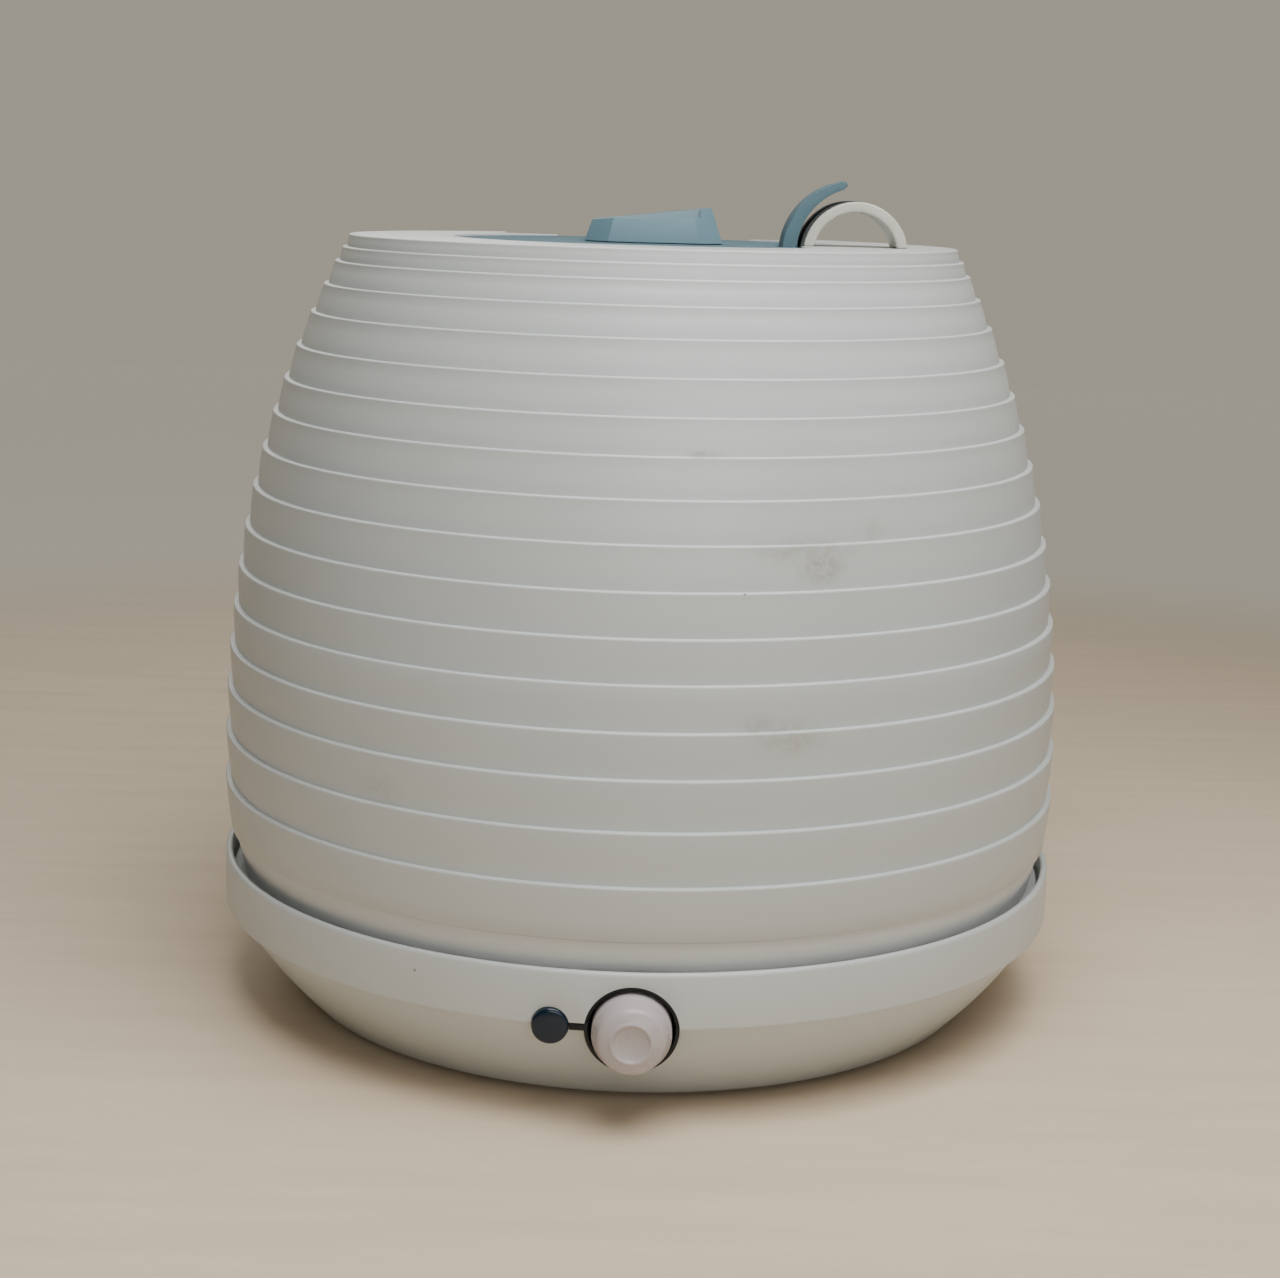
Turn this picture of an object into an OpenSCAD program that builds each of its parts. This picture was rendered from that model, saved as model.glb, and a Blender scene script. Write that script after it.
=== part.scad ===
// Cool mist humidifier: a beehive water tank that stands on a round mist base.
// Origin on the surface it stands on, at the centre. +Z is up and the front, with the knob, faces -Y.

/* [Tank] */
// Largest radius of the tank
tank_r = 124.8; // [115:1:135]
// How much smaller the radius is at the rim than at the widest band
rim_drop = 36.3; // [30:0.1:42]
// Power of the curve that draws the tank in towards the rim
bulge_power = 2.6; // [2:0.1:3]
// Height of the rim above the table
rim_z = 223.7; // [220:0.1:228]
// Height of the lower edge of the tank
tank_z = 50.5; // [49:0.5:52]
// Heights of the bands, as shares of the side, from the rim down
band_share = [3.5, 4, 6.5, 8, 9.5, 9.5, 9.5, 10.5, 11, 11.5, 11.5, 11.5, 12, 12, 13.5, 14.5, 15];
// Width of the ledge at the top of each band
ledge = 1.5; // [1.2:0.1:1.8]
// Wall thickness of the tank
tank_wall = 2.4; // [2:0.2:2.8]

/* [Base] */
// Radius of the collar
collar_r = 125; // [120:1:130]
// Height of the top of the collar
collar_z = 43; // [42:0.5:44]
// Height of the seam under the collar
seam_z = 27.5; // [26:0.5:29]
// Radius of the foot of the bowl
bowl_r = 102; // [98:0.5:104]
// Wall thickness of the bowl and collar
base_wall = 2.6; // [2.2:0.1:3]
// Wall thickness of the collar
collar_wall = 2; // [1.8:0.1:2.2]

/* [Lid and nozzle] */
// Radius of the blue lid disc
lid_r = 58; // [56:0.5:60]
// Thickness of the lid disc
lid_t = 3.4; // [3:0.1:3.6]
// How far the lid lies below the deck
lid_drop = 0.4; // [0.2:0.1:0.8]
// Width of the nozzle at its foot
nozzle_w = 39.6; // [36:0.2:42]
// Height of the low side of the nozzle above the lid
nozzle_low = 6; // [5:0.2:7]
// Height of the high side of the nozzle above the lid
nozzle_high = 10; // [8:0.2:11]

/* [Loop and lever] */
// Distance of the finger loop's centre from the middle of the tank
loop_x = 57.5; // [56:0.5:59]
// Outer radius of the finger loop
loop_r = 15; // [14:0.5:15]
// Thickness of the finger loop
loop_t = 3; // [2.4:0.2:3.4]
// Length of the loop along Y
loop_len = 24; // [20:1:26]
// Outer radius of the lever, about the loop's centre
lever_r = 20.8; // [20.8:0.2:22]

/* [Controls] */
// Radius of the knob at its skirt
knob_r = 10.35; // [9.5:0.1:10.6]
// How far the knob stands out of the collar
knob_out = 8; // [6:0.2:9]
// Radius of the dark recess round the knob
recess_r = 12.35; // [12:0.1:13]
// Height of the knob's axis
knob_z = 27; // [26:0.5:28]
// Radius of the indicator lens
lens_r = 4.85; // [4:0.05:5]

/* [Hidden] */
$fn = 96;
gap = 0.3;              // room between pieces that move past each other
fit = 0.05;             // radial room of a running fit
white = "whitesmoke";
blue = "#7f97a0";

// Tank levels
band_n = len(band_share);
function share_sum(i) = i == 0 ? 0 : share_sum(i - 1) + band_share[i - 1];
band_unit = (rim_z - tank_z) / share_sum(band_n);
function band_z(i) = rim_z - band_unit * share_sum(i);
bulge_z = tank_z + 4.5;
function side_r(z) =
    tank_r - rim_drop * pow(max(0, (z - bulge_z) / (rim_z - bulge_z)), bulge_power);
neck_r = tank_r - ledge - 0.8;  // outer radius of the neck, just under the tank's lower edge
neck_draw = 3;          // how much the neck draws in towards its foot
neck_t = 3;
floor_z = tank_z + 0.3;
floor_t = 3;
deck_t = 2.4;
mouth_r = lid_r - 4;    // radius of the filling mouth
recess_wall_r = lid_r + 0.5;
lid_top = rim_z - lid_drop;
lid_z = lid_top - lid_t; // underside of the lid
seat_z = lid_z - gap;   // ledge that the lid rests on
seat_t = 2;
scoop_w = 96;           // shallow finger scoop in the deck, behind the lid
scoop_y = 50;
scoop_drop = 0.7;       // depth of the scoop at the lid's edge
scoop_slope = 1.3;

// Loop and lever
loop_z = rim_z - 2.2;
loop_y = -8;            // middle of the loop along Y
island_x = loop_x - loop_r - 0.5;
island_y0 = -26;
island_y1 = 22;
lever_len = loop_len - 4;
lever_in_r = lever_r - 2.8;
pin_x = loop_x - lever_r + 2.2;
pin_z = seat_z - 2.5;
pin_r = 1.25;
slot_x = loop_x - lever_r - 0.6;

// Chimney, nozzle and mist path
chimney_in = 16;
chimney_out = 18;
chimney_top = seat_z - 3;
socket_r = 14.5;        // hole in the lid that the nozzle turns in
nozzle_z = lid_top + gap;

// Base levels
plate_z = 1.2;
plate_t = 2.5;
plate_top = plate_z + plate_t;
ledge_z = 33;           // ring inside the bowl that carries the basin
ledge_in = 113;
flange_z = 35.5;
basin_t = 2;
trough_z = 27;
well_z = 17;
well_r = 32;
trough_r = 92;
screw_at = 82;          // distance of the base screws from the middle
valve_x = -60;
valve_y = 25;
float_x = 62;
float_y = 25;
fan_y = 62;
fan_w = 50;
fan_h = 15;
fan_z = plate_top + 2.8;
duct_r = 15;
duct_t = 1.8;
hood_z = collar_z + 3.2;
board_z = 12;
board_x = -88;
board_y = -42;
board_w = 46;
board_l = 70;
bowl_power = 1.35;
bezel_slant = 8;        // the front of the knob's bezel leans back towards the bottom
lens_x = -21;
lens_z = 28;
jack_x = 36;
jack_z = 18;
cap_r = 17;
cap_z = collar_z - 2;
valve_lift = 3.5;
stem_r = 2.2;
seat_top = floor_z + 1;  // face that the valve closes on
stem_z = cap_z - 0.4;    // lower end of the valve's stem while the tank stands on its base
spring_z = cap_z + 6.9;

// Outer radius of the bowl at height z, up to the seam
function bowl_side(z) =
    collar_r - 3.6 - (collar_r - 3.6 - bowl_r) * pow(1 - (z - 1) / (seam_z - 1), bowl_power);

// ---------- shared shapes ----------

module ring(r_out, r_in, h) {
    difference() {
        cylinder(r = r_out, h = h);
        translate([0, 0, -1]) cylinder(r = r_in, h = h + 2);
    }
}

// Turns a shape drawn along +Z so that it points to the front, from the knob's axis
module at_knob(y) {
    translate([0, y, knob_z]) rotate([90, 0, 0]) children();
}

module at_valve(z) {
    translate([valve_x, valve_y, z]) children();
}

module at_float(z) {
    translate([float_x, float_y, z]) children();
}

module at_fan(z) {
    translate([0, fan_y, z]) children();
}

// Extrudes an outline drawn in X and Z along Y, centred on y
module along_y(y, len) {
    translate([0, y + len / 2, 0]) rotate([90, 0, 0]) linear_extrude(len) children();
}

// A small screw, head down, with a cross slot
module screw(head_r, head_h, shank_r, len) {
    difference() {
        union() {
            cylinder(r = head_r, h = head_h, $fn = 32);
            cylinder(r = shank_r, h = len, $fn = 24);
        }
        for (a = [0, 90]) rotate(a)
            translate([-head_r * 0.6, -0.35, -0.1]) cube([head_r * 1.2, 0.7, head_h * 0.5]);
    }
}

// A coil spring along +Z, swept round one closed tube
spring_side = 8;
spring_step = 14;
function coil_point(r, h, turns, k) =
    let (a = 360 * k / spring_step, rise = h * k / (turns * spring_step))
    [r * cos(a), r * sin(a), rise];
function coil_ring(r, wire, h, turns, k) =
    let (p = coil_point(r, h, turns, k), a = 360 * k / spring_step)
    [for (s = [0:spring_side - 1])
        let (b = 360 * s / spring_side, out = wire * cos(b))
        [p[0] + out * cos(a), p[1] + out * sin(a), p[2] + wire * sin(b)]];
module coil_spring(r, wire, h, turns) {
    n = turns * spring_step;
    m = spring_side;
    points = [for (k = [0:n]) each coil_ring(r, wire, h, turns, k)];
    walls = [for (k = [0:n - 1], s = [0:m - 1])
        let (t = (s + 1) % m)
        each [[k * m + s, k * m + t, (k + 1) * m + s], [k * m + t, (k + 1) * m + t, (k + 1) * m + s]]];
    start = [for (s = [1:m - 2]) [0, s + 1, s]];
    end = [for (s = [1:m - 2]) [n * m, n * m + s, n * m + s + 1]];
    translate([0, 0, wire]) polyhedron(points, concat(walls, start, end));
}

// ---------- base ----------

// Outline of the outside of the base, from the foot up to the top of the collar
bowl_steps = 12;
function base_outline(inset) = concat(
    [for (i = [0:bowl_steps])
        let (z = 1 + (seam_z - 1) * i / bowl_steps)
        [bowl_side(z) - inset, z]],
    [[collar_r - 0.6 - inset, seam_z], [collar_r - 0.15 - inset, seam_z + 0.45],
     [collar_r - inset, seam_z + 1.1], [collar_r - inset, collar_z - 1.4],
     [collar_r - 0.4 - inset, collar_z - 0.4], [collar_r - 1.3 - inset, collar_z]]);

module base_body(inset) {
    line = base_outline(inset);
    rotate_extrude() polygon(concat([[0, 1]], line, [[0, collar_z]]));
}

// The hollow inside the bowl and collar
module base_hollow() {
    inner = [for (i = [0:bowl_steps])
        let (z = 1 + (seam_z - 1) * i / bowl_steps)
        [bowl_side(z) - base_wall, z]];
    top_r = collar_r - collar_wall;
    rotate_extrude()
        polygon(concat([[0, 0], [inner[0][0], 0]], inner,
                       [[top_r, seam_z + 2], [top_r, collar_z + 1], [0, collar_z + 1]]));
}

module base_bosses() {
    intersection() {
        base_body(1);
        for (a = [45:90:315]) rotate(a) {
            translate([screw_at, 0, plate_top]) cylinder(r = 4.5, h = 20, $fn = 32);
            translate([screw_at, -1.2, plate_top + 4]) cube([40, 2.4, 16]);
        }
    }
}

// Room behind the knob's recess, cut from the flange of the basin and the neck of the tank
module knob_notch() {
    half = recess_r + 1;
    translate([-half, -collar_r - 10, flange_z - 1]) cube([2 * half, 26, 5]);
}

module base_housing() {
    color(white) difference() {
        union() {
            difference() {
                base_body(0);
                base_hollow();
            }
            translate([0, 0, ledge_z]) ring(collar_r - collar_wall + 0.5, ledge_in, flange_z - ledge_z);
            base_bosses();
        }
        for (a = [45:90:315]) rotate(a)
            translate([screw_at, 0, 0]) cylinder(r = 1.65, h = 20, $fn = 24);
        at_knob(-100) cylinder(r = recess_r, h = 40);
        translate([lens_x, -100, lens_z]) rotate([90, 0, 0]) cylinder(r = lens_r + 0.1, h = 40);
        translate([lens_x, -140, lens_z - 1]) cube([-lens_x, 40, 2.1]);
        translate([jack_x - 5.2, 92, jack_z - 5.7]) cube([10.4, 40, 11.4]);
    }
}

module base_plate() {
    slot_n = 9;
    color("gainsboro") difference() {
        union() {
            translate([0, 0, plate_z]) cylinder(r = bowl_r - base_wall - gap, h = plate_t);
            for (x = [board_x + 4, board_x + board_w - 4], y = [board_y + 4, board_y + board_l - 4])
                translate([x, y, plate_z]) cylinder(r = 3, h = board_z - plate_z, $fn = 32);
            for (x = [-1, 1], y = [-1, 1])
                at_fan(plate_z) translate([x * 21, y * 21, 0])
                    cylinder(r = 3, h = fan_z - plate_z, $fn = 32);
        }
        for (a = [45:90:315]) rotate(a) translate([screw_at, 0, 0]) {
            cylinder(r = 3.5, h = plate_z + 1.3, $fn = 32);
            cylinder(r = 1.8, h = 10, $fn = 24);
        }
        for (i = [0:slot_n - 1])
            let (x = (i - (slot_n - 1) / 2) * 4.6, half = sqrt(pow(22, 2) - pow(x, 2)))
            at_fan(0) translate([x - 1.3, -half, 0]) cube([2.6, 2 * half, 5]);
        translate([0, 0, plate_z - 1]) ring(96.2, 89.8, 1.8);
    }
}

module foot_ring() {
    color("dimgray") ring(96, 90, plate_z + 0.8);
}

module base_screws() {
    color("silver") for (a = [45:90:315]) rotate(a)
        translate([screw_at, 0, plate_z + 0.2]) screw(3.1, 1.1, 1.6, 14);
}

module water_basin() {
    duct_hole = duct_r + duct_t + 0.1;
    color("gainsboro") difference() {
        union() {
            rotate_extrude() polygon([
                [0, well_z - basin_t], [well_r + basin_t, well_z - basin_t],
                [well_r + basin_t, trough_z - basin_t], [trough_r + basin_t, trough_z - basin_t],
                [trough_r + basin_t, flange_z], [collar_r - base_wall - 0.6, flange_z],
                [collar_r - base_wall - 0.6, flange_z + 2.5], [trough_r, flange_z + 2.5],
                [trough_r - 3, trough_z], [well_r, trough_z], [well_r - 2, well_z], [0, well_z]]);
            at_float(trough_z - 1) cylinder(r = 3.1, h = 15, $fn = 32);
            at_valve(trough_z - 1) cylinder(r = 3, h = stem_z - gap - trough_z + 1, $fn = 32);
            for (a = [0:120:240]) at_valve(trough_z - 1) rotate(a) translate([0, -0.8, 0]) cube([7, 1.6, 8]);
        }
        translate([0, 0, 5]) cylinder(r = 9, h = 20);
        translate([0, 0, well_z - basin_t - 1]) cylinder(r = 11.6, h = 2.2);
        for (a = [30:120:270]) rotate(a)
            translate([17, 0, well_z - basin_t - 1]) cylinder(r = 1.3, h = 2.2, $fn = 24);
        at_fan(20) cylinder(r = duct_hole, h = 20);
        knob_notch();
    }
}

// Its front lies just inside the collar at the top and stands proud of the bowl at the bottom
module knob_bezel() {
    half = recess_r + 1;
    color("#101215") {
        difference() {
            at_knob(-113) {
                ring(recess_r - 0.05, recess_r - 1.1, 30);
                ring(recess_r - 0.05, 3.4, 2);
            }
            translate([-half, -collar_r + 0.35, knob_z + recess_r]) rotate([bezel_slant, 0, 0])
                translate([0, -40, -3 * half]) cube([2 * half, 40, 4 * half]);
        }
        difference() {
            intersection() {
                translate([lens_x, -140, lens_z - 0.95]) cube([-lens_x, 27, 2]);
                cylinder(r = collar_r - 0.15, h = collar_z);
            }
            translate([lens_x, -100, lens_z]) rotate([90, 0, 0]) cylinder(r = lens_r + 0.05, h = 60);
            at_knob(-100) cylinder(r = recess_r - 1, h = 60);
        }
    }
}

module indicator_lens() {
    color("#2f4a59") intersection() {
        translate([lens_x, -112, lens_z]) rotate([90, 0, 0]) rotate_extrude()
            polygon([[0, 0], [lens_r, 0], [lens_r, 11.4], [lens_r - 0.6, 12], [0, 12.5]]);
        translate([-60, -collar_r - 0.2, 0]) cube([60, 40, 60]);
    }
}

module indicator_led() {
    color("lightblue") translate([lens_x, -105.5, lens_z]) rotate([90, 0, 0]) {
        cylinder(r = 2.9, h = 1, $fn = 32);
        cylinder(r = 2.5, h = 4, $fn = 32);
        translate([0, 0, 4]) intersection() {
            sphere(r = 2.5, $fn = 32);
            translate([-3, -3, -0.1]) cube([6, 6, 3]);
        }
    }
}

module control_board() {
    color("seagreen") difference() {
        translate([-34, -105.5, 18]) cube([46, 1.6, 14]);
        at_knob(-90) cylinder(r = 3.6, h = 30);
    }
}

module potentiometer() {
    color("darkgray") difference() {
        at_knob(-96.5) {
            cylinder(r = 8, h = 7.4);
            cylinder(r = 3.5, h = 14);
        }
        at_knob(-96) cylinder(r = 3 + fit, h = 30);
    }
}

module control_knob() {
    back = -collar_r + 7.5;
    h = knob_out + 7.5;
    color("#e9e4e6") at_knob(back) rotate_extrude() polygon([
        [3.02, 0], [3.02, h - 4], [0, h - 4], [0, h - 0.9], [3, h - 0.7],
        [4.4, h - 0.55], [4.7, h - 0.1], [5.2, h], [5.7, h - 0.15], [6, h - 0.6], [7.2, h - 0.95],
        [8.2, h - 1.55], [8.8, h - 2.3], [9.2, h - 3.2], [9.9, h - 6.2], [knob_r, h - 6.8], [knob_r, 0],
        [knob_r - 1.4, 0], [knob_r - 1.4, h - 5], [4.6, h - 4.4], [4.6, 0]]);
}

module knob_shaft() {
    color("silver") at_knob(-97) cylinder(r = 3, h = collar_r - 97 + knob_out - 4.1);
}

module transducer() {
    color("goldenrod") {
        translate([0, 0, well_z - basin_t + 0.6]) ring(10, 8.9, 0.6);
        translate([0, 0, well_z - basin_t]) cylinder(r = 10, h = 0.6);
    }
}

module transducer_seal() {
    color("#202020") translate([0, 0, well_z - basin_t]) {
        ring(11.5, 10.05, 1.2);
        translate([0, 0, -0.8]) ring(11.5, 8, 0.8);
    }
}

module transducer_clamp() {
    color("silver") translate([0, 0, well_z - basin_t - 2.8]) difference() {
        cylinder(r = 21, h = 2);
        translate([0, 0, -1]) cylinder(r = 7, h = 4);
        for (a = [30:120:270]) rotate(a)
            translate([17, 0, -1]) cylinder(r = 1.4, h = 4, $fn = 24);
    }
}

module clamp_screws() {
    color("silver") for (a = [30:120:270]) rotate(a)
        translate([17, 0, well_z - basin_t - 4.4]) screw(2.4, 1.5, 1.15, 5.2);
}

module driver_board() {
    color("seagreen") difference() {
        translate([board_x, board_y, board_z]) cube([board_w, board_l, 1.6]);
        for (x = [board_x + 4, board_x + board_w - 4], y = [board_y + 4, board_y + board_l - 4])
            translate([x, y, 0]) cylinder(r = 1.6, h = 20, $fn = 24);
    }
}

// Capacitors, coils and the plug socket, which stand on the driver board
module board_parts() {
    z = board_z + 1.6;
    color("#30343a") {
        for (y = [-30, -18, 14]) translate([board_x + 12, y, z]) cylinder(r = 4, h = 9, $fn = 32);
        for (y = [-31, 14]) translate([board_x + 30, y, z]) ring(6, 2.6, 5);
        translate([board_x + 3, -6, z]) cube([9, 12, 6]);
        translate([board_x + 36, -4, z]) cube([5, 8, 4]);
    }
}

module heat_sink() {
    fin_n = 5;
    color("lightgray") translate([board_x + 18, -16, board_z + 1.6]) {
        cube([16, 22, 2]);
        for (i = [0:fin_n - 1]) translate([i * 3.6, 0, 2]) cube([1.6, 22, 6.5]);
    }
}

module fan_frame() {
    color("#1c1e20") at_fan(fan_z) difference() {
        union() {
            difference() {
                translate([-fan_w / 2, -fan_w / 2, 0]) cube([fan_w, fan_w, fan_h]);
                translate([0, 0, -1]) cylinder(r = 23.4, h = fan_h + 2);
            }
            for (a = [0:90:270]) rotate(a) translate([8, -1.2, 0]) cube([16, 2.4, 2]);
            cylinder(r = 9.6, h = 2);
            cylinder(r = 2.6, h = 5.5, $fn = 32);
        }
        for (x = [-1, 1], y = [-1, 1])
            translate([x * 20, y * 20, -1]) cylinder(r = 1.8, h = fan_h + 2, $fn = 24);
        translate([0, 0, 1]) cylinder(r = 1 + fit, h = 10, $fn = 24);
    }
}

module fan_rotor() {
    blade_n = 7;
    color("#2c2f33") at_fan(fan_z) {
        difference() {
            translate([0, 0, 2.6]) cylinder(r = 9.6, h = 11.4);
            translate([0, 0, 2.5]) cylinder(r = 8.2, h = 9.5);
        }
        translate([0, 0, 1.4]) cylinder(r = 1, h = 12, $fn = 24);
        difference() {
            intersection() {
                translate([0, 0, 3.4]) cylinder(r = 22.4, h = 10);
                for (i = [0:blade_n - 1]) rotate(360 * i / blade_n)
                    translate([9, 0, 8.4]) rotate([38, 0, 0]) translate([0, -8, -0.6]) cube([16, 16, 1.2]);
            }
            cylinder(r = 9, h = 20);
        }
    }
}

// Carries the air from the fan up through the basin, under a hood that keeps drips out
module air_duct() {
    z0 = fan_z + fan_h;
    top = collar_z - 1;
    color("gainsboro") at_fan(0) {
        translate([0, 0, z0]) difference() {
            translate([-24, -24, 0]) cube([48, 48, 1.6]);
            translate([0, 0, -1]) cylinder(r = duct_r, h = 4);
        }
        translate([0, 0, z0]) ring(duct_r + duct_t, duct_r, top - z0);
        for (a = [0:120:240]) rotate(a + 90)
            translate([duct_r - 0.2, -1, top - 3]) cube([2, 2, hood_z - top + 3.2]);
        translate([0, 0, hood_z]) cylinder(r = duct_r + duct_t + 2, h = 1.4);
    }
}

module float_ring() {
    color("white") at_float(trough_z + gap) rotate_extrude() polygon([
        [3.5, 0], [9, 0], [10, 1], [10, 7.5], [9, 8.5], [3.5, 8.5]]);
}

module float_clip() {
    color("lightgray") at_float(trough_z + 12.4) ring(5.5, 3.12, 1.4);
}

module float_switch() {
    color("seagreen") at_float(trough_z - basin_t - 3.4) {
        translate([-12, -4, 0]) cube([24, 8, 1.4]);
        translate([-8, 0, 2.4]) rotate([0, 90, 0]) cylinder(r = 1, h = 16, $fn = 24);
    }
}

module power_jack() {
    color("#151515") difference() {
        translate([jack_x - 5, 97, jack_z - 5.5]) cube([10, 11.4, 11]);
        translate([jack_x, 99, jack_z]) rotate([-90, 0, 0]) ring(3.1, 1, 20);
    }
}

// ---------- tank ----------

// One band's outside: the ledge, its rounded lip and the side that draws in below it
function band_points(i) =
    let (z = band_z(i), r = side_r(z))
    [[r - ledge, z], [r - 0.9, z], [r - 0.3, z - 0.25], [r, z - 0.9]];

module tank_outside() {
    side = [for (i = [0:band_n - 1]) each band_points(i)];
    foot = [[side_r(tank_z) - ledge, tank_z + 0.4], [side_r(tank_z) - ledge - 0.4, tank_z]];
    rotate_extrude()
        polygon(concat([[0, rim_z]], side, foot, [[0, tank_z]]));
}

module tank_inside() {
    side = [for (i = [1:band_n]) let (z = band_z(i)) [side_r(z) - ledge - tank_wall, z]];
    top_z = rim_z - deck_t;
    rotate_extrude() polygon(concat(
        [[0, top_z], [side_r(rim_z) - 5, top_z], [side_r(rim_z) - 2.6, top_z - 2]],
        side, [[side_r(tank_z) - ledge - tank_wall, tank_z - 1], [0, tank_z - 1]]));
}

// Part of the deck that reaches in under the finger loop

module tank_shell() {
    color(white) {
        difference() {
            tank_outside();
            tank_inside();
            translate([0, 0, tank_z]) cylinder(r = mouth_r, h = rim_z);
            translate([0, 0, seat_z]) cylinder(r = recess_wall_r, h = 10);
            translate([-scoop_w / 2, lid_r, rim_z - scoop_drop]) rotate([-scoop_slope, 0, 0])
                translate([0, scoop_y - lid_r, 0]) cube([scoop_w, lid_r, 10]);
        }
        rotate_extrude() polygon([
            [mouth_r, seat_z - seat_t], [lid_r + 4, seat_z - seat_t], [lid_r + 4, rim_z - deck_t + 0.1],
            [recess_wall_r, rim_z - deck_t + 0.1], [recess_wall_r, seat_z], [mouth_r, seat_z]]);
    }
}

// Fills a part of the lid's recess, level with the deck, and carries the inner foot of the finger loop
module loop_base() {
    color(white) intersection() {
        translate([island_x, island_y0, seat_z]) cube([lid_r, island_y1 - island_y0, rim_z - seat_z]);
        cylinder(r = recess_wall_r, h = rim_z + 1);
    }
}

// Stands inside the collar, a little short of the basin's flange
module tank_neck() {
    foot_z = flange_z + 2.5 + gap;
    top_z = tank_z - 0.2;
    inner_r = neck_r - neck_t - 1.5;
    rotate_extrude() polygon([
        [inner_r, floor_z + 0.1], [neck_r - 2, floor_z + 0.1], [neck_r - 2, top_z], [neck_r, top_z],
        [neck_r - 2, collar_z], [neck_r - neck_draw, foot_z],
        [neck_r - neck_draw - neck_t, foot_z], [inner_r - 1, collar_z]]);
}

module tank_floor() {
    cap_hole = cap_r - 3;
    color("gainsboro") difference() {
        union() {
            translate([0, 0, floor_z]) cylinder(r = side_r(tank_z) - ledge - tank_wall - fit, h = floor_t);
            tank_neck();
            translate([0, 0, cap_z]) ring(24, 22, floor_z - cap_z + 0.1);
            at_valve(floor_z - 3) cylinder(r = cap_r - 1.2, h = 5);
        }
        translate([0, 0, floor_z - 1]) cylinder(r = chimney_in, h = 10);
        at_valve(floor_z - 4) cylinder(r = cap_hole, h = 12);
        knob_notch();
    }
}

module tank_seal() {
    color("#303438") translate([0, 0, floor_z + floor_t])
        ring(side_r(tank_z) - ledge - tank_wall - 0.1, side_r(tank_z) - ledge - tank_wall - 3, 1.2);
}

module mist_chimney() {
    color(white) translate([0, 0, floor_z + floor_t]) {
        ring(chimney_out, chimney_in, chimney_top - floor_z - floor_t);
        ring(chimney_out + 3, chimney_in, 2);
    }
}

module loop_outline() {
    difference() {
        circle(r = loop_r);
        circle(r = loop_r - loop_t);
        translate([-30, -60]) square([60, 60 + rim_z - loop_z]);
    }
}

module finger_loop() {
    color(white) along_y(loop_y, loop_len) translate([loop_x, loop_z]) loop_outline();
}

// Soft crescent on the side of the loop that the lever closes against
module loop_pad() {
    color("#15181a") along_y(loop_y, loop_len - 1) translate([loop_x, loop_z]) difference() {
        translate([-0.8, 0.1]) circle(r = loop_r);
        circle(r = loop_r);
        translate([-30, -60]) square([60, 60 + rim_z - loop_z]);
    }
}

// ---------- valve ----------

// Turns in the neck under the tank, and guides the stem in its floor and in the spider above
module valve_cap() {
    skirt = floor_z - 0.6 - cap_z;
    seat = seat_top - cap_z - 1.2;
    color(blue) at_valve(cap_z) difference() {
        union() {
            difference() {
                cylinder(r = cap_r, h = skirt);
                translate([0, 0, 2.2]) cylinder(r = cap_r - 1.1, h = 20);
            }
            ring(cap_r - 3.3, cap_r - 5.3, seat + 1.2);
            translate([0, 0, seat]) ring(cap_r - 3.3, 6.5, 1.2);
            translate([0, 0, seat]) cylinder(r = 4.2, h = 1.2, $fn = 48);
            for (a = [0:120:240]) rotate(a) translate([3, -0.8, seat]) cube([4, 1.6, 1.2]);
            for (a = [0:30:330]) rotate(a) translate([cap_r - 0.2, -1, 0]) cube([1.2, 2, skirt]);
        }
        translate([0, 0, -1]) cylinder(r = stem_r + fit, h = 20, $fn = 48);
        for (a = [0:60:300]) rotate(a) translate([8.4, 0, -1]) cylinder(r = 1.8, h = 6, $fn = 24);
    }
}

module valve_gasket() {
    color("#303438") at_valve(floor_z - 3.9) ring(cap_r - 1.3, cap_r - 3.1, 0.8);
}

// Held open by the basin's post while the tank stands on its base
module valve_plunger() {
    disc_z = seat_top + valve_lift + 1.2;
    color("white") at_valve(0) {
        translate([0, 0, stem_z]) cylinder(r = stem_r, h = disc_z - stem_z, $fn = 48);
        translate([0, 0, disc_z]) cylinder(r = 9.5, h = 1.6);
        translate([0, 0, spring_z - 1]) cylinder(r = 4.2, h = 1, $fn = 48);
    }
}

module valve_seal() {
    color("#303438") at_valve(seat_top + valve_lift + 0.1) ring(9.3, 7, 1.1);
}

module valve_spring() {
    color("silver") at_valve(spring_z) coil_spring(3.2, 0.28, seat_top - 1.2 - spring_z - 0.56, 3);
}

// ---------- lid ----------

module lid_disc() {
    lug_y = lever_len / 2 + gap;
    color(blue) difference() {
        union() {
            difference() {
                translate([0, 0, lid_z]) rotate_extrude() polygon([
                    [0, 0], [lid_r - 0.4, 0], [lid_r, 0.4], [lid_r, lid_t - 1.1],
                    [lid_r - 0.4, lid_t - 0.5], [lid_r - 1.4, lid_t], [0, lid_t]]);
                translate([island_x - gap, island_y0 - gap, seat_z - 3])
                    cube([30, island_y1 - island_y0 + 2 * gap, 20]);
            }
            for (s = [-1, 1]) translate([pin_x - 3.4, loop_y + s * (lug_y + 1.6) - 1.6, pin_z - 3])
                cube([5.7, 3.2, lid_z - pin_z + 3.2]);
            translate([0, 0, chimney_top - 5])
                ring(chimney_out + 2.3, chimney_out + gap, lid_z - chimney_top + 5.2);
        }
        translate([0, 0, lid_z - 1]) cylinder(r = socket_r, h = lid_t + 3);
        translate([slot_x, loop_y - lug_y, lid_z - 12]) cube([12, 2 * lug_y, 30]);
        translate([pin_x, 60, pin_z]) rotate([90, 0, 0]) cylinder(r = pin_r, h = 120, $fn = 32);
    }
}

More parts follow.
